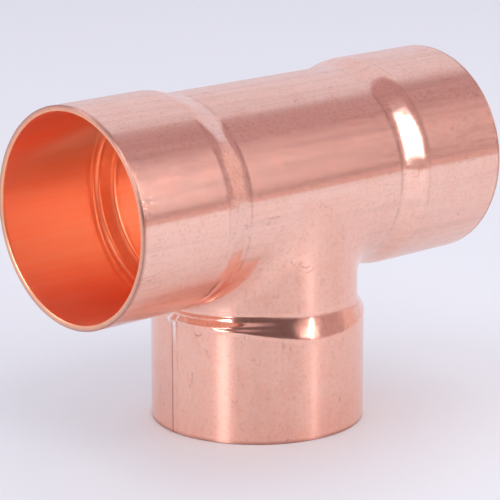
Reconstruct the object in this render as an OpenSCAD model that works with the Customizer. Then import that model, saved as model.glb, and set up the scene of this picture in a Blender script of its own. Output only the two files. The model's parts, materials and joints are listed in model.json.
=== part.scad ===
// Equal copper tee with three plain sockets for soldered tube.
// The fitting is a single piece: one length of copper tube with its branch drawn out of the side.
// It stands on the mouth of its branch. The run lies along X, and the origin is the centre of that mouth.

/* [Tube] */
// Outside diameter of the tube that every socket takes
tube_od = 66.7; // [66:0.1:67.4]
// Gap on the radius that the solder fills between tube and socket
solder_gap = 0.05; // [0.03:0.01:0.1]

/* [Wall] */
// Thickness of the copper wall
wall = 2; // [1.6:0.1:2.4]
// Outside diameter of the barrel and of the neck
barrel_od = 66.4; // [65:0.1:66.8]

/* [Lengths] */
// Centre of the fitting to the face of every socket
centre_to_face = 79.5; // [79.5:0.5:84]
// Depth of both sockets on the run, from the face to where the bore narrows
run_socket_depth = 37.3; // [34:0.1:37.5]
// Depth of the branch socket, from the face to where the bore narrows
branch_socket_depth = 35; // [34:0.1:37.5]
// Length of the shoulder between a socket and the barrel or neck
shoulder_length = 7.6; // [6:0.2:8]

/* [Edges] */
// Radius of the fillet where the neck leaves the barrel
crotch_radius = 6; // [4:0.5:7]
// Chamfer on the outer edge of every rim
outer_chamfer = 0.35; // [0.2:0.05:0.6]
// Chamfer that leads the tube into every socket
inner_chamfer = 0.5; // [0.2:0.05:0.6]

/* [Hidden] */
$fn = 96;
bore_r = tube_od / 2 + solder_gap;
socket_r = bore_r + wall;
barrel_r = barrel_od / 2;
run_half = centre_to_face - run_socket_depth;
neck_end = centre_to_face - branch_socket_depth;
ramp_round = 0.2;      // share of the shoulder that is rounded at each end of its cone
ramp_steps = 4;        // straight stretches that make up each rounded end
past = 1;              // how far a cutting solid runs past the face it cuts
bite = 0.15;           // how far the crotch fill sinks into the tubes it joins
crotch_span = 76;      // angle on each side of the crotch over which the fillet is wide enough to matter
crotch_steps = 28;
arc_steps = 6;

// Shares of the shoulder's length that its outline has points at: its cone runs between the rounded ends.
ramp_shares = concat([for (i = [0 : ramp_steps]) ramp_round * i / ramp_steps],
                     [for (i = [ramp_steps : -1 : 0]) 1 - ramp_round * i / ramp_steps]);

// Share of the step in radius that is done at a share of the shoulder's length, up to the end of its cone.
function rounded_start(share) = share * share / (2 * ramp_round * (1 - ramp_round));

// Outside radius at a share of the shoulder: 0 where the socket ends, 1 where the barrel begins.
function shoulder_r(share) =
    let (done = share < 0.5 ? rounded_start(share) : 1 - rounded_start(1 - share))
    socket_r + (barrel_r - socket_r) * done;

// Outline of one shoulder as [radius, height] points, from the socket at height top down to the barrel.
function shoulder_line(top, thinner) =
    [for (share = ramp_shares) [shoulder_r(share) - thinner, top - shoulder_length * share]];

// Outside of a socket and its shoulder, from the face inward.
function outer_line(stop) =
    concat([[socket_r - outer_chamfer, centre_to_face],
            [socket_r, centre_to_face - outer_chamfer]],
           shoulder_line(stop, 0));

// Bore of a socket and its shoulder, from just past the face inward.
function inner_line(stop) =
    concat([[bore_r + inner_chamfer, centre_to_face + past],
            [bore_r + inner_chamfer, centre_to_face],
            [bore_r, centre_to_face - inner_chamfer]],
           shoulder_line(stop, wall));

function mirrored(line) = [for (i = [len(line) - 1 : -1 : 0]) [line[i][0], -line[i][1]]];

// Solid of revolution along X with the same end on both sides.
module run_solid(line) {
    end = line[0][1];
    rotate([0, 90, 0])
        rotate_extrude()
            polygon(concat([[0, -end], [0, end]], line, mirrored(line)));
}

// Solid of revolution from the crossing of the axes down along -Z.
module branch_solid(line) {
    mirror([0, 0, 1])
        rotate_extrude()
            polygon(concat([[0, 0], [0, line[0][1]]], line, [[line[len(line) - 1][0], 0]]));
}

// Fill between two equal tubes, on the -X side: a ball of radius ball_r rolls along their corner,
// and the fill is what it can't reach. The angle is 0 in the crotch and nears 90 at the sides.
function ball_centre(reach, angle) = reach * [-cos(angle), sin(angle), -cos(angle)];

function between(a, b, share) =
    let (spread = acos(a * b))
    (sin((1 - share) * spread) * a + sin(share * spread) * b) / sin(spread);

function crotch_section(tube_r, ball_r, angle) =
    let (centre = ball_centre(tube_r + ball_r - bite, angle),
         to_run = [0, -sin(angle), cos(angle)],
         to_branch = [cos(angle), -sin(angle), 0])
    concat([for (k = [0 : arc_steps]) centre + ball_r * between(to_run, to_branch, k / arc_steps)],
           [ball_centre(tube_r - wall / 2, angle)]);

module crotch_fill_left(tube_r, ball_r) {
    ring = arc_steps + 2;
    points = [for (i = [0 : crotch_steps])
        each crotch_section(tube_r, ball_r, crotch_span * (2 * i / crotch_steps - 1))];
    last = crotch_steps * ring;
    sides = [for (i = [0 : crotch_steps - 1], k = [0 : ring - 1])
        let (a = i * ring + k, b = i * ring + (k + 1) % ring)
        each [[a, b, b + ring], [a, b + ring, a + ring]]];
    start = [for (k = [0 : arc_steps - 1]) [ring - 1, k + 1, k]];
    end = [for (k = [0 : arc_steps - 1]) [last + ring - 1, last + k, last + k + 1]];
    polyhedron(points, concat(sides, start, end));
}

module crotch_fill(tube_r, ball_r) {
    crotch_fill_left(tube_r, ball_r);
    mirror([1, 0, 0]) crotch_fill_left(tube_r, ball_r);
}

// Wedge under the crossing in which the neck, and not the barrel, is the outer shape.
module below_crossing() {
    far = centre_to_face + 2 * past;
    rotate([90, 0, 0])
        linear_extrude(height = 2 * far, center = true)
            polygon([[0, 0], [-far, -far], [far, -far]]);
}

// Run and branch as one filled shape.
module tee_shape(run_line, branch_line, tube_r, ball_r) {
    difference() {
        run_solid(run_line);
        below_crossing();
    }
    intersection() {
        branch_solid(branch_line);
        below_crossing();
    }
    crotch_fill(tube_r, ball_r);
}

module tee_body() {
    color("#e9a48c")
        translate([0, 0, centre_to_face])
            difference() {
                tee_shape(outer_line(run_half), outer_line(neck_end), barrel_r, crotch_radius);
                tee_shape(inner_line(run_half), inner_line(neck_end), barrel_r - wall, crotch_radius + wall);
            }
}

tee_body();
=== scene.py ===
"""Looks of an equal copper tee with plain solder sockets.

The fitting is one formed wall, so it is one seamless mesh in place of the CAD node tee_body. Lengths are in
metres. The run lies along X, the branch points down, and both axes cross at height AXIS_Z.
"""

import json
import math

import bpy
import numpy as np
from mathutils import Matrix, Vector


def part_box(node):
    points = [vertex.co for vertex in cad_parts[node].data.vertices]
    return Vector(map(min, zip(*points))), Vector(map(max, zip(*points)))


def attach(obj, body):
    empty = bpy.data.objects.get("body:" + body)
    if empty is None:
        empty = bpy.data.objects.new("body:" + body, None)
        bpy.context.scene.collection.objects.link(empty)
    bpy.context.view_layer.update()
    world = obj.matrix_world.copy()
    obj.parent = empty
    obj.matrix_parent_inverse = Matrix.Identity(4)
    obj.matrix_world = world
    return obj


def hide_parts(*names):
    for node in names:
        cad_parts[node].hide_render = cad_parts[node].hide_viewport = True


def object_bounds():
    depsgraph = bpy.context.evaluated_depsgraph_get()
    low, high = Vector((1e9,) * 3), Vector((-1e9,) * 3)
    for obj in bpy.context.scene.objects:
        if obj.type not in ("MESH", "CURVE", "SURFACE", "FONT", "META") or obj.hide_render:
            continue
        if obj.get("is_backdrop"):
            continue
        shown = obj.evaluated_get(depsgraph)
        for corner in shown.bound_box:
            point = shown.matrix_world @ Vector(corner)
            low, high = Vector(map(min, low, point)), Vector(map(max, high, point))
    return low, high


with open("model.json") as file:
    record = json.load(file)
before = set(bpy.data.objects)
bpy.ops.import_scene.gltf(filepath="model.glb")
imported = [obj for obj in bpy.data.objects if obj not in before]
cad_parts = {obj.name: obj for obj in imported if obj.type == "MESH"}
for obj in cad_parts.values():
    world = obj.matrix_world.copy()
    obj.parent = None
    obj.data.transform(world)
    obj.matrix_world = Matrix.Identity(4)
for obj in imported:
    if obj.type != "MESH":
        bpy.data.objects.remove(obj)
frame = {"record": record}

MM = 0.001
CAD_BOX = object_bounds()

# ---------------------------------------------------------------- dimensions, from the frame
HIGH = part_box("tee_body")[1]
MOUNTS = {m["name"]: m for m in frame["record"]["mounts"]}
SPARE = 0.03 * MM            # largest unevenness that still stays inside the CAD node's box
SOCKET_R = HIGH.y - SPARE
BORE_R = MOUNTS["left_socket"]["dims"]["r_mm"] * MM
WALL = SOCKET_R - BORE_R
AXIS_Z = HIGH.z - HIGH.y
FACE = HIGH.x
LEFT, RIGHT, BRANCH = "left", "right", "branch"


def bore_end(name, along):
    """Distance from the crossing of the axes to where a socket's bore begins to narrow."""
    mount = MOUNTS[name]
    return along(mount["pos_m"]) - mount["dims"]["length_mm"] * MM / 2


STOP = {
    LEFT: bore_end("left_socket", lambda p: -p[0]),
    RIGHT: bore_end("right_socket", lambda p: p[0]),
    BRANCH: bore_end("branch_socket", lambda p: AXIS_Z - p[2]),
}

# ---------------------------------------------------------------- dimensions of the forming detail
SHOULDER = {                 # length of a shoulder
    LEFT: 11.2 * MM,
    RIGHT: 11.2 * MM,
    BRANCH: 7.6 * MM,
}
LATE = {                     # how far past the bore's stop a shoulder ends, towards the mouth
    LEFT: 2.4 * MM,
    RIGHT: 3.0 * MM,
    BRANCH: 0,
}
STEP = 2.2 * MM              # how much smaller the barrel's radius is than a socket's
BARREL_R = SOCKET_R - STEP
ROUNDED = {                  # share of a shoulder that is rounded at each end of its cone
    LEFT: 0.28,
    RIGHT: 0.28,
    BRANCH: 0.2,
}
CROTCH_R = 6 * MM            # fillet between run and branch
CROTCH_GROWTH = 4            # how many times its size is added where run and branch meet flat, at the front
SAME_WAY = 0.9995            # cosine above which the two walls count as meeting flat
OPPOSITE = -0.999            # cosine below which they count as facing each other
CREASE_SHADE_W = 0.55 * MM         # width of the painted shade in the creases at a shoulder's ends
CREASE_SHADE_END = 0.5             # strength of the painted crease shade at a shoulder's end, where 1 is the one at its start
WOBBLE_WAVES = 14            # number of waves in the slow unevenness of an arm
WOBBLE_H = 0.045 * MM        # height of a wave, times its number around the arm
WRINKLE_WAVES = 22           # number of waves in the fine dents on a shoulder
WRINKLE_H = 0.16 * MM        # depth of a dent, times its number around the arm
WRINKLE_BLEND = 2 * MM       # distance over which the dents begin, centred on a shoulder's end
CALM = 4 * MM                # distance before a rim over which the unevenness dies away
OUTER_LIP = 0.35 * MM        # rounding of a rim's outer edge
INNER_LIP = 0.5 * MM         # rounding of a rim's inner edge
LEFT_PINCH = (1.2 * MM, 3.1 * MM)     # how far the branch shoulder's two ends draw in on its left side
RIGHT_PINCH = (2.9 * MM, 2.7 * MM)    # the same on its right side
FRONT_SAG = 2.1 * MM         # how far its lower end sags in the middle of the front and the back
FRONT_LIFT = 0.7 * MM        # how far its upper end sags there
SAG_MIDDLE_DEG = 97          # where the sag is deepest, counted from the left side
SAG_FLAT_DEG = 12            # how far it stays at its deepest on each side of that
SAG_FADE_DEG = 46            # over what angle it then dies away
PARTING_DEG = 4.4            # the die's parting line on the branch, behind its left side
PARTING_H = 0.13 * MM
PARTING_W = 0.30 * MM
FLASH_ARC = -1.15 * MM       # the low flash beside the top of the parting line, as an arc from it
FLASH_W = 0.60 * MM
FLASH_H = 0.10 * MM
FLASH_LENGTH = 11 * MM
PARTING_LINES = np.arange(-2.9, 0.7, 0.25) * MM     # arcs from the parting line with extra lengthwise lines
PARTING_START = 1.5 * MM     # distance below the shoulder over which the parting line rises
PARTING_TOP = 0.45           # strength of the parting line's darkening at its top, where 1 is its foot
SECOND_LINE = 0.5            # strength of the darker line beyond the flash
RIDGES = (                   # beads inside a shoulder: distance past the stop, height, width
    (-0.9 * MM, 0.24 * MM, 0.45 * MM),
    (1.7 * MM, 0.30 * MM, 0.50 * MM),
    (7.0 * MM, 0.26 * MM, 0.60 * MM),
)
RIDGE_UNEVEN = (0.25, 0.2)   # how much their height changes twice and five times around the bore
RIDGE_DRIFT = 0.25 * MM      # how far they drift along it
BEADS = (                    # folds on the branch shoulder's left and right: past its start, height, width
    (0.7 * MM, 0.30 * MM, 0.42 * MM),
    (1.8 * MM, -0.22 * MM, 0.42 * MM),
    (3.0 * MM, 0.26 * MM, 0.45 * MM),
    (4.5 * MM, 0.12 * MM, 0.50 * MM),
)
KNOBS = (                    # lumps on the branch shoulder: angle, distance above its end, radius, height
    (6.0, 0.4 * MM, 1.3 * MM, 0.60 * MM),
    (0.6, 1.2 * MM, 0.6 * MM, 0.34 * MM),
    (-1.6, 0.2 * MM, 0.5 * MM, 0.30 * MM),
    (-3.9, 1.2 * MM, 0.5 * MM, 0.24 * MM),
    (-5.4, 0.6 * MM, 0.6 * MM, 0.24 * MM),
)

# ---------------------------------------------------------------- mesh density
TURN_STEPS = 240             # a multiple of 4, so that the sides of the crossing have vertices
BODY_STEPS = 40
SHOULDER_STEPS = 54
SOCKET_STEPS = 32
LIP_STEPS = 4
SHOULDER_BEFORE = 1 * MM     # how far the dense part of an arm begins before its shoulder
SHOULDER_AFTER = 2 * MM      # how far it goes on after it
NEWTON_STEPS = 14
STRIDE = 0.9                 # share of each correction that is made
FLATTEST = 0.2               # smallest squared slope that a correction trusts
CLOSE_ENOUGH = 1e-4 * MM
PROBE = 2e-3 * MM
WELD = 2e-3 * MM             # vertices closer than this are one
TINY = 1e-9                  # keeps a direction defined on an axis

rng = np.random.default_rng(7)


def rounded_ramp(share, rounded):
    """0 to 1 in a straight line, with a rounded start and end."""
    s = np.clip(share, 0, 1)
    start = s * s / (2 * rounded * (1 - rounded))
    end = 1 - (1 - s) ** 2 / (2 * rounded * (1 - rounded))
    middle = (s - rounded / 2) / (1 - rounded)
    return np.where(s < rounded, start, np.where(s > 1 - rounded, end, middle))


def bell(distance, width):
    """1 in the middle, falling to 0 on both sides."""
    return np.exp(-((distance / width) ** 2))


def make_wobble():
    """Slow unevenness of a formed wall, as a sum of waves around and along an arm."""
    around = rng.integers(2, 15, WOBBLE_WAVES)
    phase = rng.uniform(0, 2 * math.pi, WOBBLE_WAVES)
    along = rng.uniform(-60, 60, WOBBLE_WAVES)
    height = rng.uniform(0.3, 1.0, WOBBLE_WAVES) * WOBBLE_H / around

    def wobble(t, angle):
        waves = [h * np.sin(a * angle + p + k * t) for a, p, k, h in zip(around, phase, along, height)]
        return np.clip(np.sum(waves, axis=0), -SPARE, SPARE)

    return wobble


WOBBLE = {arm: make_wobble() for arm in ("run", BRANCH)}
RIDGE_PHASE = rng.uniform(0, 2 * math.pi, (len(RIDGES), 3))
WRINKLE_AROUND = rng.integers(9, 60, WRINKLE_WAVES)
WRINKLE_PHASE = rng.uniform(0, 2 * math.pi, WRINKLE_WAVES)
WRINKLE_ALONG = rng.uniform(-700, 700, WRINKLE_WAVES)


def wrinkles(t, angle):
    """Fine dents that the forming dies leave on a shoulder."""
    waves = [np.sin(a * angle + p + k * t) / a
             for a, p, k in zip(WRINKLE_AROUND, WRINKLE_PHASE, WRINKLE_ALONG)]
    return WRINKLE_H * np.sum(waves, axis=0)


def shoulder_ends(arm, angle):
    """Distances from the crossing at which an arm's shoulder starts and ends. The branch's is wavy."""
    end = np.full(np.shape(angle), STOP[arm] + LATE[arm])
    start = end - SHOULDER[arm]
    if arm == BRANCH:
        left, right = np.maximum(np.cos(angle), 0), np.maximum(-np.cos(angle), 0)
        middle = np.abs(np.abs(angle) - math.radians(SAG_MIDDLE_DEG))
        sag = 1 - smooth_step((middle - math.radians(SAG_FLAT_DEG)) / math.radians(SAG_FADE_DEG))
        start = start + LEFT_PINCH[0] * left ** 4 + RIGHT_PINCH[0] * right ** 4 + FRONT_LIFT * sag
        end = end - LEFT_PINCH[1] * left ** 2 - RIGHT_PINCH[1] * right ** 2 + FRONT_SAG * sag
    return start, end


def ridge_height(arm, t, angle):
    """Height of the beads inside a shoulder, each a little uneven around the bore."""
    total = np.zeros(np.shape(t))
    for (past, height, width), phase in zip(RIDGES, RIDGE_PHASE):
        twice, five_times = RIDGE_UNEVEN
        uneven = 1 + twice * np.sin(2 * angle + phase[0]) + five_times * np.sin(5 * angle + phase[1])
        place = STOP[arm] - past + RIDGE_DRIFT * np.sin(3 * angle + phase[2])
        total = total + height * uneven * bell(t - place, width)
    return total


def arm_radius(arm, t, angle, inside):
    """Radius of an arm at distance t from the crossing.

    The angle is 0 on the left of the branch and on the underside of the run."""
    start, end = shoulder_ends(arm, angle)
    radius = BARREL_R + STEP * rounded_ramp((t - start) / (end - start), ROUNDED[arm])
    from_start, from_end = (t - start) / WRINKLE_BLEND, (end - t) / WRINKLE_BLEND
    on_shoulder = smooth_step(from_start + 0.5) * smooth_step(from_end + 0.5)
    radius = radius + on_shoulder * wrinkles(t, angle)
    fade = np.clip((FACE - t) / CALM, 0, 1)
    radius = radius + fade * WOBBLE[BRANCH if arm == BRANCH else "run"](t, angle)
    if inside:
        return radius - WALL - ridge_height(arm, t, angle)
    if arm == BRANCH:
        for past, height, width in BEADS:
            radius = radius + height * np.cos(angle) ** 4 * bell(t - start - past, width)
        arc = (angle - math.radians(PARTING_DEG)) * SOCKET_R
        below = np.clip((t - end) / PARTING_START, 0, 1)
        flash = FLASH_H * bell(arc - FLASH_ARC, FLASH_W) * (1 - smooth_step((t - end) / FLASH_LENGTH))
        radius = radius + (PARTING_H * bell(arc, PARTING_W) + flash) * below * fade
        for degrees, past, size, height in KNOBS:
            arc = (angle - math.radians(degrees)) * SOCKET_R
            radius = radius + height * bell(np.hypot(arc, t - end + past), size)
    return radius


def run_field(p, inside):
    """Distance of points from the run's wall, and its outward direction.

    Points are relative to the crossing."""
    angle = np.arctan2(p[:, 1], -p[:, 2])
    reach = np.hypot(p[:, 1], p[:, 2])
    radius = np.where(p[:, 0] < 0,
                      arm_radius(LEFT, np.abs(p[:, 0]), angle, inside),
                      arm_radius(RIGHT, np.abs(p[:, 0]), angle, inside))
    out = np.stack([np.zeros(len(p)), p[:, 1], p[:, 2]], 1) / np.maximum(reach, TINY)[:, None]
    return reach - radius, out


def branch_field(p, inside):
    """The same for the branch's wall."""
    angle = np.arctan2(p[:, 1], -p[:, 0])
    reach = np.hypot(p[:, 0], p[:, 1])
    radius = arm_radius(BRANCH, np.abs(p[:, 2]), angle, inside)
    out = np.stack([p[:, 0], p[:, 1], np.zeros(len(p))], 1) / np.maximum(reach, TINY)[:, None]
    return reach - radius, out


def wall_field(p, inside):
    """Signed distance from the whole wall: run and branch joined by a ball rolled along their corner."""
    run, run_out = run_field(p, inside)
    branch, branch_out = branch_field(p, inside)
    branch = np.where(p[:, 2] > 0, np.hypot(np.maximum(branch, 0), p[:, 2]), branch)
    near = np.minimum(run, branch)
    lean = np.clip((run_out * branch_out).sum(1), OPPOSITE, SAME_WAY)
    ball = CROTCH_R * (1 + CROTCH_GROWTH * np.maximum(lean, 0) ** 2) + (WALL if inside else 0)
    u, v = ball - run, ball - branch
    in_corner = (u > lean * v) & (v > lean * u) & (u > 0) & (v > 0) & (p[:, 2] < 0)
    from_centre = np.sqrt(np.maximum(u * u + v * v - 2 * u * v * lean, 0) / (1 - lean * lean))
    return np.where(in_corner, ball - from_centre, near)


def onto_wall(points, inside):
    """Moves points along the field's slope until they lie on the wall."""
    p = points.copy()
    todo = np.arange(len(p))
    for _ in range(NEWTON_STEPS):
        f = wall_field(p[todo], inside)
        todo, f = todo[np.abs(f) > CLOSE_ENOUGH], f[np.abs(f) > CLOSE_ENOUGH]
        q = p[todo]
        slope = np.stack([(wall_field(q + d, inside) - wall_field(q - d, inside)) / (2 * PROBE)
                          for d in np.eye(3) * PROBE], 1)
        p[todo] = q - STRIDE * (f / np.maximum((slope ** 2).sum(1), FLATTEST))[:, None] * slope
    return p


def turn_angles():
    """Angles of the lengthwise lines, with extra ones where the parting line is."""
    even = np.arange(-TURN_STEPS // 2, TURN_STEPS // 2) * 2 * math.pi / TURN_STEPS
    extra = math.radians(PARTING_DEG) + PARTING_LINES / SOCKET_R
    return np.unique(np.round(np.concatenate([even, extra]), 9))


ANGLES = turn_angles()
QUARTER = math.pi / 2 + 1e-6             # a quarter turn, with room for rounding
LOWER = np.abs(ANGLES) <= QUARTER        # the angles that face the other half of the branch


def spaced(a, b, n):
    """n steps from a to b, without b itself; a may hold one value for each angle."""
    share = np.arange(n) / n
    return np.asarray(a)[..., None] * (1 - share) + np.asarray(b)[..., None] * share


def strip(arm, angles, split):
    """One arm's wall as a grid: out along its outside, round its lip and back along its inside.

    split(angles, r) gives where the arm begins for a wall of radius r. Returns for each grid point its
    distance, its radius, whether it is inside, and whether it still has to be moved onto the wall."""
    ones = np.ones(len(angles))
    rows_t, rows_r, rows_in, rows_fit = [], [], [], []

    def add(t, radius, inside, fit):
        rows_t.append(t)
        rows_r.append(radius)
        rows_in.append(np.full(t.shape, inside))
        rows_fit.append(np.full(t.shape, fit))

    def body(inside):
        r0 = BARREL_R - (WALL if inside else 0)
        start = ones * (STOP[arm] - SHOULDER[arm] - SHOULDER_BEFORE)
        end = ones * (STOP[arm] + LATE[arm] + SHOULDER_AFTER)
        lip = ones * (FACE - (INNER_LIP if inside else OUTER_LIP))
        t = np.concatenate([spaced(split(angles, r0), start, BODY_STEPS),
                            spaced(start, end, SHOULDER_STEPS),
                            spaced(end, lip, SOCKET_STEPS)], 1)
        return t, arm_radius(arm, t, angles[:, None], inside)

    t, radius = body(False)
    add(t, radius, False, True)
    bend = np.arange(LIP_STEPS + 1) / LIP_STEPS * math.pi / 2
    add(ones[:, None] * (FACE - OUTER_LIP + OUTER_LIP * np.sin(bend)),
        ones[:, None] * (SOCKET_R - OUTER_LIP + OUTER_LIP * np.cos(bend)), False, False)
    add(ones[:, None] * (FACE - INNER_LIP + INNER_LIP * np.cos(bend)),
        ones[:, None] * (BORE_R + INNER_LIP - INNER_LIP * np.sin(bend)), True, False)
    t, radius = body(True)
    add(t[:, ::-1], radius[:, ::-1], True, True)
    return [np.concatenate(rows, 1) for rows in (rows_t, rows_r, rows_in, rows_fit)]


def grid_faces(rows, columns, closed, offset, flip):
    """Quads between neighbouring lines of a grid of vertices."""
    i = np.arange(rows if closed else rows - 1)
    j = np.arange(columns - 1)
    a = i[:, None] * columns + j[None, :]
    b = ((i + 1) % rows)[:, None] * columns + j[None, :]
    quads = np.stack([a, a + 1, b + 1, b], -1).reshape(-1, 4) + offset
    return quads[:, ::-1] if flip else quads


def arm_points(arm, sign, angles, t, radius):
    """Points of an arm from angle, distance and radius. The sign is -1 for the right half of the fitting."""
    c, s = np.cos(angles)[:, None], np.sin(angles)[:, None]
    if arm == BRANCH:
        return np.stack([-sign * radius * c, radius * s, -t], -1)
    return np.stack([-sign * t, radius * s, -radius * c], -1)


def build_tee():
    """The whole wall as vertices, quads and, for each vertex, whether it is inside."""
    def run_split(angles, r):
        return r * np.maximum(np.cos(angles), 0)

    def branch_split(angles, r):
        return r * np.abs(np.cos(angles))

    def mirrored(angles):
        """The branch's own angle for its right half, which is counted from the left."""
        return math.pi - angles

    patches = (              # arm, sign, angles on the grid, the arm's own angles, start, closed round
        (LEFT, 1, ANGLES, ANGLES, run_split, True),
        (RIGHT, -1, ANGLES, ANGLES, run_split, True),
        (BRANCH, 1, ANGLES[LOWER], ANGLES[LOWER], branch_split, False),
        (BRANCH, -1, ANGLES[LOWER], mirrored(ANGLES[LOWER]), branch_split, False),
    )
    points, quads, inside, fit = [], [], [], []
    count = 0
    for arm, sign, place, own, split, closed in patches:
        own = (own + math.pi) % (2 * math.pi) - math.pi
        t, radius, side, fitted = strip(arm, own, split)
        points.append(arm_points(arm, sign, place, t, radius).reshape(-1, 3))
        flip = (sign < 0) != (arm == BRANCH)
        quads.append(grid_faces(*t.shape, closed, count, flip))
        inside.append(side.ravel())
        fit.append(fitted.ravel())
        count += t.size
    points, quads = np.concatenate(points), np.concatenate(quads)
    inside, fit = np.concatenate(inside), np.concatenate(fit)
    for part in (False, True):
        chosen = (inside == part) & fit
        points[chosen] = onto_wall(points[chosen], part)
    return points, quads, inside


def weld(points, quads, extras):
    """Joins vertices that lie on the same spot and drops quads that collapse."""
    key = np.round(points / WELD).astype(np.int64)
    _, first, back = np.unique(key, axis=0, return_index=True, return_inverse=True)
    back = back.ravel()
    faces = []
    for quad in back[quads]:
        corners = [v for k, v in enumerate(quad) if v != quad[k - 1]]
        if len(set(corners)) >= 3:
            faces.append(corners)
    return points[first], faces, [e[first] for e in extras]


def smooth_step(x):
    """0 up to 0, 1 from 1 on, smooth between them."""
    x = np.clip(x, 0, 1)
    return x * x * (3 - 2 * x)


BLEND = 18 * MM              # width of the zone where the drawing lines turn from the run to the branch
POLISH_EDGE = 1.2 * MM       # how far the polish of the dies reaches past a shoulder
RIM_SHADE = 0.20 * MM         # distance from a mouth's outer edge with full painted shade
RIM_FADE = 0.45 * MM         # distance over which it then dies away


def surface_data(p):
    """For each vertex: share that belongs to the branch, direction of drawing, and the dies' polish."""
    run, _ = run_field(p, False)
    branch, _ = branch_field(p, False)
    branchness = np.where(p[:, 2] < 0, smooth_step(0.5 + (run - branch) / BLEND), 0)
    grain = np.stack([1 - branchness, np.zeros(len(p)), branchness], 1)
    grain /= np.linalg.norm(grain, axis=1)[:, None]
    on_branch = branchness > 0.5
    angle = np.arctan2(p[:, 1], np.where(on_branch, -p[:, 0], -p[:, 2]))
    polish = np.zeros(len(p))
    places = (
        (LEFT, -p[:, 0], ~on_branch),
        (RIGHT, p[:, 0], ~on_branch),
        (BRANCH, -p[:, 2], on_branch),
    )
    for arm, t, mine in places:
        start, end = shoulder_ends(arm, angle)
        on = smooth_step((t - start) / POLISH_EDGE + 1) * smooth_step((end - t) / POLISH_EDGE + 1)
        polish = np.where(mine, np.maximum(polish, on), polish)
    return branchness, grain, polish


def parting_data(p, inside):
    """How much darker a vertex is along the parting line, and how strongly it gets a painted highlight on a
    lump of the branch shoulder or along the flash.
    """
    angle = np.arctan2(p[:, 1], -p[:, 0])
    _, end = shoulder_ends(BRANCH, angle)
    on_arm = (p[:, 2] < 0) & (np.abs(p[:, 0]) < FACE / 2) & ~inside
    on_socket = on_arm & (p[:, 2] < -end)
    arc = (angle - math.radians(PARTING_DEG)) * SOCKET_R
    depth = smooth_step((-p[:, 2] - end) / FLASH_LENGTH)
    line = bell(arc, PARTING_W) * (PARTING_TOP + (1 - PARTING_TOP) * depth)
    second = SECOND_LINE * bell(arc - 2 * FLASH_ARC, PARTING_W) * (1 - depth)
    seam = np.where(on_socket, line + second, 0)
    shine = np.where(on_socket, bell(arc - FLASH_ARC, FLASH_W) * (1 - depth), 0)
    for degrees, above, size, _ in KNOBS:
        from_knob = np.hypot((angle - math.radians(degrees)) * SOCKET_R, -p[:, 2] - end + above)
        shine = np.maximum(shine, bell(from_knob, size) * on_arm)
    return seam, shine


def rim_shade_data(p):
    """How strongly a vertex lies on the outer edge of a mouth, where a dark line of painted shade goes."""
    mouth = np.maximum(np.abs(p[:, 0]), -p[:, 2])
    in_branch = -p[:, 2] > np.abs(p[:, 0])
    reach = np.where(in_branch, np.hypot(p[:, 0], p[:, 1]), np.hypot(p[:, 1], p[:, 2]))
    corner = np.hypot(FACE - mouth, reach - SOCKET_R)
    return 1 - smooth_step((corner - RIM_SHADE) / RIM_FADE)


def crease_shade_data(p, inside, branchness):
    """How strongly a vertex lies in the crease at the start or the end of a run shoulder, where shade is
    painted.
    """
    crease = np.zeros(len(p))
    angle = np.arctan2(p[:, 1], -p[:, 2])
    for arm, t in ((LEFT, -p[:, 0]), (RIGHT, p[:, 0])):
        start, end = shoulder_ends(arm, angle)
        crease = np.maximum(crease, bell(t - start, CREASE_SHADE_W) + CREASE_SHADE_END * bell(t - end, CREASE_SHADE_W))
    return crease * (1 - branchness) * ~inside


def add_attribute(mesh, name, kind, values):
    attribute = mesh.attributes.new(name, kind, "POINT")
    key = "vector" if kind == "FLOAT_VECTOR" else "value"
    attribute.data.foreach_set(key, np.asarray(values, np.float32).ravel())


def make_tee():
    """The fitting's wall as one object, with what the copper needs to know stored at its vertices."""
    points, quads, inside = build_tee()
    points, faces, (inside,) = weld(points, quads, [inside])
    branchness, grain, polish = surface_data(points)
    seam, shine = parting_data(points, inside)
    mesh = bpy.data.meshes.new("tee_wall")
    mesh.from_pydata((points + [0, 0, AXIS_Z]).tolist(), [], faces)
    mesh.validate()
    add_attribute(mesh, "grain", "FLOAT_VECTOR", grain)
    add_attribute(mesh, "branchness", "FLOAT", branchness)
    add_attribute(mesh, "polish", "FLOAT", polish)
    add_attribute(mesh, "inside", "FLOAT", inside)
    add_attribute(mesh, "seam", "FLOAT", seam)
    # painted highlight on the lumps and along the flash
    add_attribute(mesh, "shine", "FLOAT", shine)
    # painted shade along the mouths' outer edges
    add_attribute(mesh, "edge", "FLOAT", rim_shade_data(points))
    # painted shade in the creases of the run shoulders
    add_attribute(mesh, "crease", "FLOAT", crease_shade_data(points, inside, branchness))
    mesh.shade_smooth()
    tee = bpy.data.objects.new("tee_wall", mesh)
    bpy.context.scene.collection.objects.link(tee)
    return tee


# ---------------------------------------------------------------- node arithmetic
class Sock:
    """A shader socket that can be used in sums, so that a material reads as a formula."""

    def __init__(self, tree, out):
        self.tree, self.out = tree, out

    def math(self, op, *others):
        node = self.tree.nodes.new("ShaderNodeMath")
        node.operation = op
        for k, value in enumerate((self,) + others):
            plug(self.tree, value, node.inputs[k])
        return Sock(self.tree, node.outputs[0])

    def __add__(self, other):
        return self.math("ADD", other)

    __radd__ = __add__

    def __mul__(self, other):
        return self.math("MULTIPLY", other)

    def __sub__(self, other):
        return self.math("SUBTRACT", other)

    def __rsub__(self, other):
        return self * -1 + other

    def step(self, low, high, start=0.0, end=1.0):
        """start below low, end above high, smooth between them."""
        node = self.tree.nodes.new("ShaderNodeMapRange")
        node.interpolation_type = "SMOOTHSTEP"
        for k, value in enumerate((self, low, high, start, end)):
            plug(self.tree, value, node.inputs[k])
        return Sock(self.tree, node.outputs[0])


MIX_A, MIX_B, MIX_OUT = 6, 7, 2          # the places of a Mix node's colour sockets


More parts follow.
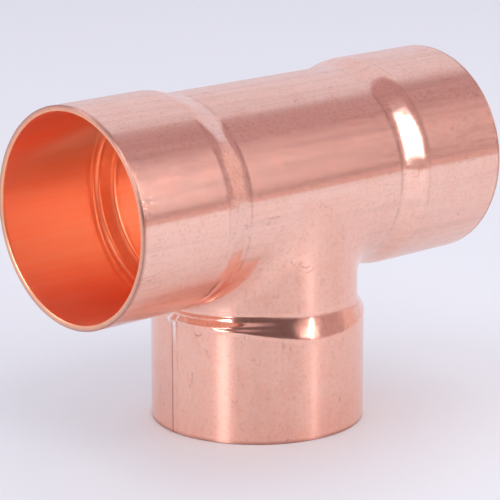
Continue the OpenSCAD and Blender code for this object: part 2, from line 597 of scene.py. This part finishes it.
def plug(tree, value, socket):
    """Links a socket to a Sock, or sets it to a plain value."""
    if isinstance(value, Sock):
        tree.links.new(value.out, socket)
    else:
        socket.default_value = value


def mix_colour(tree, share, a, b):
    """Colour a where the share is 0, b where it is 1."""
    node = tree.nodes.new("ShaderNodeMix")
    node.data_type = "RGBA"
    plug(tree, share, node.inputs["Factor"])
    plug(tree, a if isinstance(a, Sock) else (*a, 1), node.inputs[MIX_A])
    plug(tree, b if isinstance(b, Sock) else (*b, 1), node.inputs[MIX_B])
    return Sock(tree, node.outputs[MIX_OUT])


def attribute(tree, name, output="Fac"):
    """What make_tee stored at the vertices under this name."""
    node = tree.nodes.new("ShaderNodeAttribute")
    node.attribute_name = name
    return Sock(tree, node.outputs[output])


def stretched(tree, scale):
    """Object coordinates in metres, times a scale for each axis."""
    place = tree.nodes.new("ShaderNodeTexCoord")
    node = tree.nodes.new("ShaderNodeVectorMath")
    node.operation = "MULTIPLY"
    tree.links.new(place.outputs["Object"], node.inputs[0])
    node.inputs[1].default_value = scale
    return Sock(tree, node.outputs[0])


def noise(tree, scale, detail, rough, seed):
    """Noise from 0 to 1. The scale is in cells per metre, for each axis."""
    node = tree.nodes.new("ShaderNodeTexNoise")
    node.noise_dimensions = "4D"
    plug(tree, stretched(tree, scale), node.inputs["Vector"])
    node.inputs["W"].default_value = seed
    node.inputs["Scale"].default_value = 1.0
    node.inputs["Detail"].default_value = detail
    node.inputs["Roughness"].default_value = rough
    return Sock(tree, node.outputs["Fac"])


def spots(tree, name):
    """One of the SPOTS: 1 on scattered spots, 0 between them."""
    scale, seed, fade, chance = SPOTS[name]
    node = tree.nodes.new("ShaderNodeTexVoronoi")
    node.voronoi_dimensions = "4D"
    plug(tree, stretched(tree, (scale, scale, scale)), node.inputs["Vector"])
    node.inputs["W"].default_value = seed
    node.inputs["Scale"].default_value = 1.0
    split = tree.nodes.new("ShaderNodeSeparateColor")
    tree.links.new(node.outputs["Color"], split.inputs[0])
    spot = Sock(tree, node.outputs["Distance"]).step(*fade, 1.0, 0.0)
    return spot * Sock(tree, split.outputs[0]).step(*chance)


CLOUDS = {                   # patterns without a direction: cells per metre, octaves, roughness, seed
    "mottle": (130, 4, 0.6, 1.0),
    "satin": (900, 3, 0.6, 4.0),
    "grit": (2600, 2, 0.6, 7.0),
    "smudge": (340, 3, 0.6, 9.0),
    "freckle": (1000, 2, 0.6, 12.0),
    "hair_patch": (160, 2, 0.5, 15.0),
    "dimple": (520, 3, 0.6, 16.0),
    "blotch": (320, 3, 0.6, 19.0),
    "crease_patch": (260, 2, 0.5, 21.0),
    "polish_grit": (1600, 2, 0.6, 23.0),
    "table": (6, 3, 0.5, 11.0),
}
LEVELS = {                   # levels of a cloud's noise at which its pattern begins and is full
    "mottle": (0.42, 0.66),
    "smudge": (0.60, 0.74),
    "freckle": (0.48, 0.74),
    "hair_patch": (0.54, 0.60),
    "blotch": (0.42, 0.64),
    "crease_patch": (0.40, 0.56),
}
DRAWN_LINES = {              # patterns drawn out along an arm: cells per metre across, along, octaves, seed
    "streak": (400, 10, 3.0, 2.0),
    "fine": (800, 18, 4.0, 6.0),
    "broad": (210, 9, 2.0, 8.0),
    "hair": (260, 26, 2.0, 14.0),
}
DRAWN_ROUGH = 0.55
BRANCH_SEED = 5              # added to a seed on the branch
HAIR_W = (0.002, 0.009)      # distance from a level of the noise over which a hair scratch fades
SPOTS = {                    # cells per metre, seed, where a spot fades in its cell, share of cells left out
    "pit": (190, 3.0, (0.05, 0.10), (0.80, 0.84)),
    "glint": (1300, 17.0, (0.22, 0.40), (0.35, 0.45)),
}
SMOOTH = 0.155               # roughness of clean copper on the outside
ROUGHER = {                  # what each pattern adds to it
    "satin": 0.04,
    "mottle": 0.02,
    "inside": 0.17,
    "edge": 0.2,
}
LESS_DRAWN = {               # what each pattern takes from the stretch of the highlights, which is 1
    "polish": 0.4,
    "inside": 0.3,
}
MICROMETRE = 1e-6
RELIEF = {                   # height of each pattern in micrometres
    "fine": 3.0,
    "broad": 9.0,
    "dimple": 5.0,
    "grit": 0.4,
    "polish_grit": 9.0,
    "pit": -12.0,
    "hair": -3.0,
    "tool_mark": -30.0,
    "glitter": 25.0,
}


def cloud(tree, name):
    """One of the CLOUDS, from 0 to 1."""
    scale, detail, rough, seed = CLOUDS[name]
    value = noise(tree, (scale, scale, scale), detail, rough, seed)
    return value.step(*LEVELS[name]) if name in LEVELS else value


def drawn(tree, name):
    """Noise drawn out along the run, turning to run down the branch where the branch takes over."""
    across, along, detail, seed = DRAWN_LINES[name]
    branchness = attribute(tree, "branchness")
    run = noise(tree, (along, across, across), detail, DRAWN_ROUGH, seed)
    branch = noise(tree, (across, across, along), detail, DRAWN_ROUGH, seed + BRANCH_SEED)
    return run * (1 - branchness) + branch * branchness


COPPER = (0.98, 0.62, 0.512)             # the outside
REDDER_AND_REFLECTION = (0.975, 0.53, 0.41)             # its redder patches, and on the branch a painted warm reflection
DRAWN = (0.72, 0.43, 0.35)               # lines along an arm
# painted highlight: a near-white colour laid where glints and lit lumps are painted
PAINTED_GLINT = (1.0, 0.92, 0.88)
# tarnish on marks and specks, and also painted shade in the shoulder creases
TARNISH_AND_SHADE = (0.52, 0.27, 0.21)
# dirt in the nick, the darker parting line, and painted shade along the mouths' outer edges
DIRT_AND_SHADE = (0.42, 0.16, 0.12)
INNER_COPPER = (0.992, 0.51, 0.32)       # the inside
INNER_DEEP = (0.985, 0.43, 0.24)         # lines on it


def on_branch(degrees, radius, z):
    """A point on the branch's outside, at an angle counted from its left side."""
    a = math.radians(degrees)
    return Vector((-radius * math.cos(a), radius * math.sin(a), z))


def on_run(x, degrees):
    """A point on the outside of a run socket, at an angle counted from below."""
    a = math.radians(degrees)
    return Vector((x, SOCKET_R * math.sin(a), AXIS_Z - SOCKET_R * math.cos(a)))


TOOL_MARK = on_branch(-74.6, BARREL_R, AXIS_Z - 20 * MM)     # where a tool touched the front of the neck
TOOL_RINGS = ((2.0 * MM, 0.30 * MM), (3.7 * MM, 0.22 * MM))  # its two rings: radius, width
NICK = on_branch(-14, SOCKET_R, 35 * MM)                     # a small scratch below the branch shoulder
NICK_RING = (1.6 * MM, 0.40 * MM)                            # its ring: radius, width
WORN_GLINT_PATCH = on_run(-FACE + 3.3 * MM, -109.4)                # a rubbed patch beside the left mouth, with painted glints laid on its colour
WORN_GLINT_REACH = (1.5 * MM, 6 * MM)                              # where the rubbing and its painted glints begin to fade and end


def distance_to(tree, point):
    """Distance from a point, in metres."""
    place = tree.nodes.new("ShaderNodeTexCoord")
    node = tree.nodes.new("ShaderNodeVectorMath")
    node.operation = "DISTANCE"
    tree.links.new(place.outputs["Object"], node.inputs[0])
    node.inputs[1].default_value = point
    return Sock(tree, node.outputs["Value"])


def crescent(tree, centre, radius, width):
    """1 on the lower part of a thin ring around a point, 0 away from it."""
    ring = (distance_to(tree, centre) - radius).math("ABSOLUTE").step(0, width, 1.0, 0.0)
    low = distance_to(tree, centre - Vector((0, 0, radius))).step(radius * 0.5, radius * 1.5, 1.0, 0.0)
    return ring * low


def copper_patterns(tree):
    """Every pattern on the copper, from 0 to 1. Pits and hair scratches are on the outside only."""
    inner = attribute(tree, "inside")
    outside = 1 - inner
    polish = attribute(tree, "polish")
    hair = (drawn(tree, "hair") - 0.5).math("ABSOLUTE").step(*HAIR_W, 1.0, 0.0)
    small_ring, large_ring = (crescent(tree, TOOL_MARK, *ring) for ring in TOOL_RINGS)
    worn_glint = distance_to(tree, WORN_GLINT_PATCH).step(*WORN_GLINT_REACH, 1.0, 0.0)
    return {
        "inside": inner,
        "outside": outside,
        "edge": attribute(tree, "edge"),
        "fine": drawn(tree, "fine"),
        "broad": drawn(tree, "broad"),
        "dimple": cloud(tree, "dimple"),
        "grit": cloud(tree, "grit"),
        "polish": polish,
        "polish_grit": cloud(tree, "polish_grit") * polish,
        "satin": cloud(tree, "satin"),
        "mottle": cloud(tree, "mottle"),
        "pit": spots(tree, "pit") * outside,
        "hair": hair * cloud(tree, "hair_patch") * outside,
        "tool_mark": small_ring + large_ring,
        "nick": crescent(tree, NICK + Vector((0, 0, NICK_RING[0])), *NICK_RING),
        # painted glints: near-white spots in the rubbed patch, which also get raised relief
        "glitter": worn_glint * spots(tree, "glint"),
    }


def copper_colour(tree, patterns):
    """The base colour, from the copper itself through its stains to the dirt, painted highlights and painted
    shade on top.
    """
    inner, outside = patterns["inside"], patterns["outside"]
    branchness = attribute(tree, "branchness")
    streak = drawn(tree, "streak")
    # mottle and blotch are redder tone of the copper; the branch's share is a painted warm reflection of the
    # table lit by the copper
    redness_and_reflection = patterns["mottle"] * 0.3 + cloud(tree, "blotch") * 0.25 + branchness * 0.5
    drawing = streak.step(0.46, 0.64) * (0.26 - branchness * 0.16)
    # painted shade in the creases at the run shoulders' ends, made patchy
    crease = attribute(tree, "crease") * (0.05 + cloud(tree, "crease_patch") * 0.35)
    layers = (               # where, how strongly, and the colour that is laid over the ones before it
        (inner, 1.0, INNER_COPPER),
        # redder patches, and a painted warm reflection on the branch
        (redness_and_reflection * outside, 1.0, REDDER_AND_REFLECTION),
        (drawing * outside, 1.0, DRAWN),
        (streak.step(0.40, 0.62) * inner, 0.5, INNER_DEEP),
        (cloud(tree, "freckle") * outside, 0.27, TARNISH_AND_SHADE),
        (cloud(tree, "smudge") * outside, 0.12, TARNISH_AND_SHADE),
        (patterns["hair"], 0.4, TARNISH_AND_SHADE),
        (patterns["pit"], 0.7, TARNISH_AND_SHADE),
        (patterns["tool_mark"], 0.5, TARNISH_AND_SHADE),
        (patterns["nick"], 0.6, DIRT_AND_SHADE),
        # painted glints beside the left mouth
        (patterns["glitter"], 1.0, PAINTED_GLINT),
        # painted shade in the shoulder creases
        (crease, 1.0, TARNISH_AND_SHADE),
        # painted highlights on the lumps of the branch shoulder and along the flash
        (attribute(tree, "shine"), 1.0, PAINTED_GLINT),
        # darker along the parting line
        (attribute(tree, "seam"), 0.9, DIRT_AND_SHADE),
        # painted shade: a dark line along the mouths' outer edges
        (patterns["edge"], 0.7, DIRT_AND_SHADE),
    )
    colour = COPPER
    for place, strength, layer in layers:
        colour = mix_colour(tree, place * strength, colour, layer)
    return colour


def copper_material():
    material = bpy.data.materials.new("drawn_copper")
    material.use_nodes = True
    tree = material.node_tree
    surface = tree.nodes["Principled BSDF"]
    patterns = copper_patterns(tree)
    roughness = sum((patterns[name] * more for name, more in ROUGHER.items()), SMOOTH)
    height = sum(patterns[name] * micrometres for name, micrometres in RELIEF.items())
    stretch = 1 - sum(patterns[name] * less for name, less in LESS_DRAWN.items())
    surface.inputs["Metallic"].default_value = 1.0
    plug(tree, copper_colour(tree, patterns), surface.inputs["Base Color"])
    plug(tree, roughness, surface.inputs["Roughness"])
    plug(tree, stretch, surface.inputs["Anisotropic"])
    plug(tree, attribute(tree, "grain", "Vector"), surface.inputs["Tangent"])
    bump = tree.nodes.new("ShaderNodeBump")
    bump.inputs["Strength"].default_value = 1.0
    bump.inputs["Distance"].default_value = MICROMETRE
    plug(tree, height, bump.inputs["Height"])
    tree.links.new(bump.outputs[0], surface.inputs["Normal"])
    return material


# ---------------------------------------------------------------- floor, light and camera
FLOOR_COLOUR = (0.81, 0.88, 0.92)
FLOOR_CLOUD = tuple(0.97 * c for c in FLOOR_COLOUR)     # slightly darker clouds on it
CAMERA_AZ = -43.1            # in degrees, as for direction()
CAMERA_EL = 14.3
CAMERA_DISTANCE = 0.839
CAMERA_AIM = Vector((-0.0053, -0.0021, AXIS_Z - 0.0223))
LENS = 184                   # in millimetres, as is the sensor
SENSOR = 36


def make_floor():
    """A pale table whose front edge lies between the fitting and the camera."""
    left, right, front, back = -2.2, 1.0, -0.52, 3.0
    corners = [(left, front, 0), (right, front, 0), (right, back, 0), (left, back, 0)]
    mesh = bpy.data.meshes.new("table")
    mesh.from_pydata(corners, [], [(0, 1, 2, 3)])
    floor = bpy.data.objects.new("table", mesh)
    floor.rotation_euler.z = math.radians(CAMERA_AZ)
    bpy.context.scene.collection.objects.link(floor)
    material = bpy.data.materials.new("table_paper")
    material.use_nodes = True
    tree = material.node_tree
    surface = tree.nodes["Principled BSDF"]
    colour = mix_colour(tree, cloud(tree, "table") * 0.5, FLOOR_COLOUR, FLOOR_CLOUD)
    plug(tree, colour, surface.inputs["Base Color"])
    surface.inputs["Roughness"].default_value = 0.6
    mesh.materials.append(material)
    floor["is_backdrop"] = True


def direction(azimuth, elevation):
    """Unit vector from the fitting: azimuth 0 is towards -Y and 90 towards +X."""
    a, e = math.radians(azimuth), math.radians(elevation)
    return Vector((math.sin(a) * math.cos(e), -math.cos(a) * math.cos(e), math.sin(e)))


def make_camera():
    data = bpy.data.cameras.new("camera")
    data.lens, data.sensor_width = LENS, SENSOR
    camera = bpy.data.objects.new("camera", data)
    camera.location = CAMERA_AIM + CAMERA_DISTANCE * direction(CAMERA_AZ, CAMERA_EL)
    camera.rotation_euler = (CAMERA_AIM - camera.location).to_track_quat("-Z", "Y").to_euler()
    bpy.context.scene.collection.objects.link(camera)
    bpy.context.scene.camera = camera


BACKDROP = (0.72, 0.705, 0.785)       # what the camera itself sees behind the table
BACK_LIGHT = (0.80, 0.79, 0.89)       # the white roof and back, as they show in the copper
SIDE_WALL = (0.54, 0.40, 0.425)
SIDE_WALL_HIGH = (0.50, 0.345, 0.375)
SIDE_GLOW = (0.84, 0.66, 0.65)
CANOPY = (0.72, 0.62, 0.66)
DARK_ROOM = (0.16, 0.12, 0.13)
TABLE_EDGE = (0.74, 0.55, 0.54)       # below the horizon, past the table
ROOF_EDGE = 0.118            # y over z in the direction of the white roof's front edge
ROOF_BLUR = 0.012            # half the width of its blurred edge
TABLE_BLUR = 0.04            # half the width of the blurred horizon
WALL_FADE = (0.20, 0.75)     # heights between which the wall darkens
DARK_AREA = ((-72, -66), (2, 10), (0.52, 0.64, 1.0, 0.0))
CANOPY_AREA = ((-80, -60), (25, 40), (0.62, 0.72))
GLOW_AREA = ((58, 68), (92, 102), (0.36, 0.46, 1.0, 0.0))
LEFT_EDGE = (-92, -84)       # azimuths between which the bright left side gives way to the wall


def make_world():
    """A white roof and back, a dimmer wall in front, and the dark room behind the camera.

    An AREA is two stretches of azimuth, where it fades in and out, and a fade in height."""
    world = bpy.data.worlds.new("studio")
    bpy.context.scene.world = world
    world.use_nodes = True
    tree = world.node_tree
    place = tree.nodes.new("ShaderNodeTexCoord")
    split = tree.nodes.new("ShaderNodeSeparateXYZ")
    tree.links.new(place.outputs["Generated"], split.inputs[0])
    x, y, z = (Sock(tree, split.outputs[k]) for k in range(3))
    azimuth = x.math("ARCTAN2", y * -1) * (180 / math.pi)

    def area(fade_in, fade_out, height):
        return azimuth.step(*fade_in) * azimuth.step(*fade_out, 1.0, 0.0) * z.step(*height)

    colour = mix_colour(tree, z.step(*WALL_FADE), SIDE_WALL, SIDE_WALL_HIGH)
    seen = Sock(tree, tree.nodes.new("ShaderNodeLightPath").outputs["Is Camera Ray"])
    layers = (               # share of a colour that is laid over the ones before it, and the colour
        (area(*GLOW_AREA), SIDE_GLOW),
        (area(*CANOPY_AREA), CANOPY),
        (area(*DARK_AREA), DARK_ROOM),
        (azimuth.step(*LEFT_EDGE, 1.0, 0.0), BACK_LIGHT),
        ((y - z * ROOF_EDGE).step(-ROOF_BLUR, ROOF_BLUR), BACK_LIGHT),
        (z.step(-TABLE_BLUR, TABLE_BLUR, 1.0, 0.0), TABLE_EDGE),
        (seen, BACKDROP),
    )
    for share, layer in layers:
        colour = mix_colour(tree, share, colour, layer)
    background = tree.nodes["Background"]
    plug(tree, colour, background.inputs["Color"])
    background.inputs["Strength"].default_value = 1.0


# Lamps: name, azimuth, elevation, distance from the crossing, width, height, radiance, shape.
SOFTBOXES = (
    ("softbox_right", 20, 30, 1.5, 0.24, 1.45, 5.0, "ELLIPSE"),
    ("softbox_left", -80, 28, 1.5, 0.30, 1.15, 12.0, "RECTANGLE"),
)
REAR_LIGHT = ("rear_light", -132, 34, 1.5, 0.4, 0.4, 6.0, "RECTANGLE")
BORE_LIGHT = ("bore_light", 90, 0, 0.110, 0.055, 0.055, 1.9, "RECTANGLE")
BRANCH_LIGHT = ("branch_light", 0, -90, AXIS_Z - 2 * MM, 0.046, 0.046, 0.35, "RECTANGLE")
CEILING = ("ceiling", 0, 90, 1.6, 2.4, 2.4, 0.50, "RECTANGLE")
FRONT_FILL = ("front_fill", 5, 38, 1.6, 2.2, 1.6, 1.15, "RECTANGLE")
LAMP_COLOUR = (1.0, 0.97, 0.98)


def make_lamp(name, azimuth, elevation, distance, width, height, radiance, shape):
    """An area lamp that faces the crossing and that the camera doesn't see."""
    light = bpy.data.lights.new(name, "AREA")
    light.shape = shape
    light.size, light.size_y = width, height
    light.energy = radiance * math.pi * width * height
    light.color = LAMP_COLOUR
    lamp = bpy.data.objects.new(name, light)
    lamp.visible_camera = False
    lamp.location = Vector((0, 0, AXIS_Z)) + distance * direction(azimuth, elevation)
    lamp.rotation_euler = (-direction(azimuth, elevation)).to_track_quat("-Z", "Y").to_euler()
    bpy.context.scene.collection.objects.link(lamp)
    return lamp


def make_lamps():
    """Lamps that show only in the copper, and two large ones that light only the table."""
    for lamp in (*SOFTBOXES, REAR_LIGHT, BORE_LIGHT, BRANCH_LIGHT):
        make_lamp(*lamp).visible_diffuse = False
    for lamp in (CEILING, FRONT_FILL):
        make_lamp(*lamp).visible_glossy = False


tee = make_tee()
tee.data.materials.append(copper_material())
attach(tee, "root")
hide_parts("tee_body")

make_floor()
make_camera()
make_world()
make_lamps()

scene = bpy.context.scene
scene.view_settings.view_transform = "Standard"
scene.cycles.max_bounces = 24            # light is caught inside the sockets for many bounces
scene.cycles.glossy_bounces = 20

boxes = {"cad": CAD_BOX, "visual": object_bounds()}
{name: [list(corner) for corner in box] for name, box in boxes.items()}
